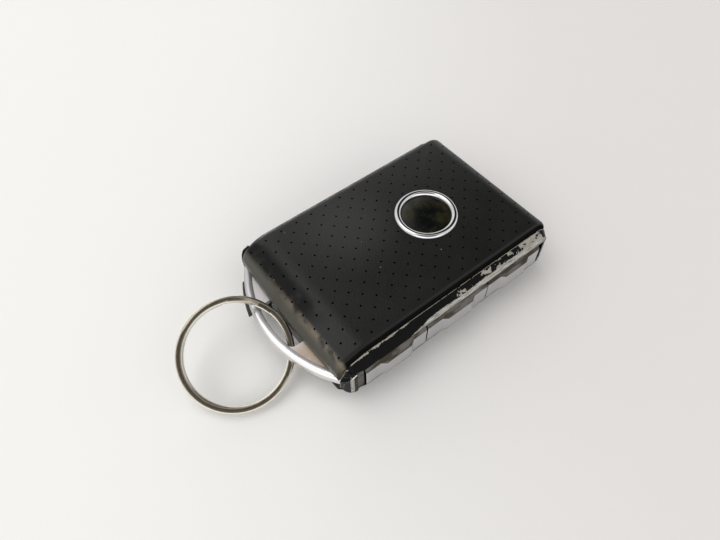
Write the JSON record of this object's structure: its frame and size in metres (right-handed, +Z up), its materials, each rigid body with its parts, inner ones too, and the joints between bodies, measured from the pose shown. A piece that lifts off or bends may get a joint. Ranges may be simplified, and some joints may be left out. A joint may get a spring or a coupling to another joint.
{
  "type": "car key fob",
  "caption": "Keyless car key fob with perforated leather-look panels, bevelled shells, side push buttons, a metal loop and a split key ring.",
  "frame": {"origin": "centre of the flat rear face that the fob lies on", "axes": "+Z up out of the front panel, +Y away from the key ring, +X towards the side with the longer row of buttons"},
  "size_m": [0.0498, 0.0971, 0.0173],
  "materials": {
    "leather": "satin",
    "shell_paint": "gloss",
    "frame_plastic": "gloss",
    "bright_trim": "polished",
    "badge_disc": "gloss",
    "loop_metal": "satin",
    "ring_steel": "polished",
    "catch_plastic": "satin",
    "inner_plastic": "matt",
    "silicone": "matt",
    "switch_plastic": "matt",
    "cell_steel": "satin",
    "contact_metal": "satin",
    "board": "satin",
    "chip": "matt",
    "steel": "satin",
    "coil_block": "matt"
  },
  "bodies": {
    "housing": {"middle_frame": "frame_plastic", "key_ring_loop": "loop_metal", "loop_pins": "steel", "left_trim_strips": "bright_trim", "right_button_seal": "silicone", "left_button_seal": "silicone", "side_switches": "switch_plastic", "battery_carrier": "inner_plastic", "cap_seal": "silicone", "battery": "cell_steel", "plus_contact": "contact_metal", "minus_contact": "contact_metal", "circuit_board": "board", "control_chip": "chip", "crystal": "steel", "antenna_coil": "coil_block", "blade_tray": "inner_plastic", "tray_screws": "steel", "key_blade": "steel", "blade_head": "inner_plastic"},
    "front_cover": {"front_shell": "shell_paint", "front_panel": "leather", "front_liner": "inner_plastic", "badge_bezel": "bright_trim", "badge_disc": "badge_disc"},
    "rear_cover": {"rear_shell": "shell_paint", "rear_panel": "leather", "rear_liner": "inner_plastic"},
    "battery_cap": {"battery_cap": "inner_plastic"},
    "lock_button": {"lock_button": "bright_trim"},
    "unlock_button": {"unlock_button": "bright_trim"},
    "boot_button": {"boot_button": "bright_trim"},
    "alert_button": {"alert_button": "bright_trim"},
    "release_catch": {"release_catch": "catch_plastic"},
    "split_ring": {"split_ring": "ring_steel"}
  },
  "joints": [
    {"name": "front_cover_slide", "type": "slide", "parent": "housing", "child": "front_cover", "axis": [0, 1, 0], "range_m": [0, 0.003]},
    {"name": "rear_cover_slide", "type": "slide", "parent": "housing", "child": "rear_cover", "axis": [0, 1, 0], "range_m": [0, 0.003]},
    {"name": "battery_cap_turn", "type": "hinge", "parent": "housing", "child": "battery_cap", "pos_m": [0, -0.004, 0.004], "axis": [0, 0, 1], "range_deg": [0, 40]},
    {"name": "lock_press", "type": "slide", "parent": "housing", "child": "lock_button", "axis": [-1, 0, 0], "range_m": [0, 0.0005], "stiffness_N_per_m": 1500, "springref_m": -0.0002},
    {"name": "unlock_press", "type": "slide", "parent": "housing", "child": "unlock_button", "axis": [-1, 0, 0], "range_m": [0, 0.0005], "stiffness_N_per_m": 1500, "springref_m": -0.0002},
    {"name": "boot_press", "type": "slide", "parent": "housing", "child": "boot_button", "axis": [-1, 0, 0], "range_m": [0, 0.0005], "stiffness_N_per_m": 1500, "springref_m": -0.0002},
    {"name": "alert_press", "type": "slide", "parent": "housing", "child": "alert_button", "axis": [1, 0, 0], "range_m": [0, 0.0005], "stiffness_N_per_m": 1500, "springref_m": -0.0002},
    {"name": "catch_slide", "type": "slide", "parent": "housing", "child": "release_catch", "axis": [1, 0, 0], "range_m": [0, 0.0016], "stiffness_N_per_m": 400, "springref_m": -0.0005},
    {"name": "ring_swing", "type": "hinge", "parent": "housing", "child": "split_ring", "pos_m": [-0.00069, -0.04848, 0.00735], "axis": [0.279, 0.9603, 0], "range_deg": [0, 95]}
  ]
}
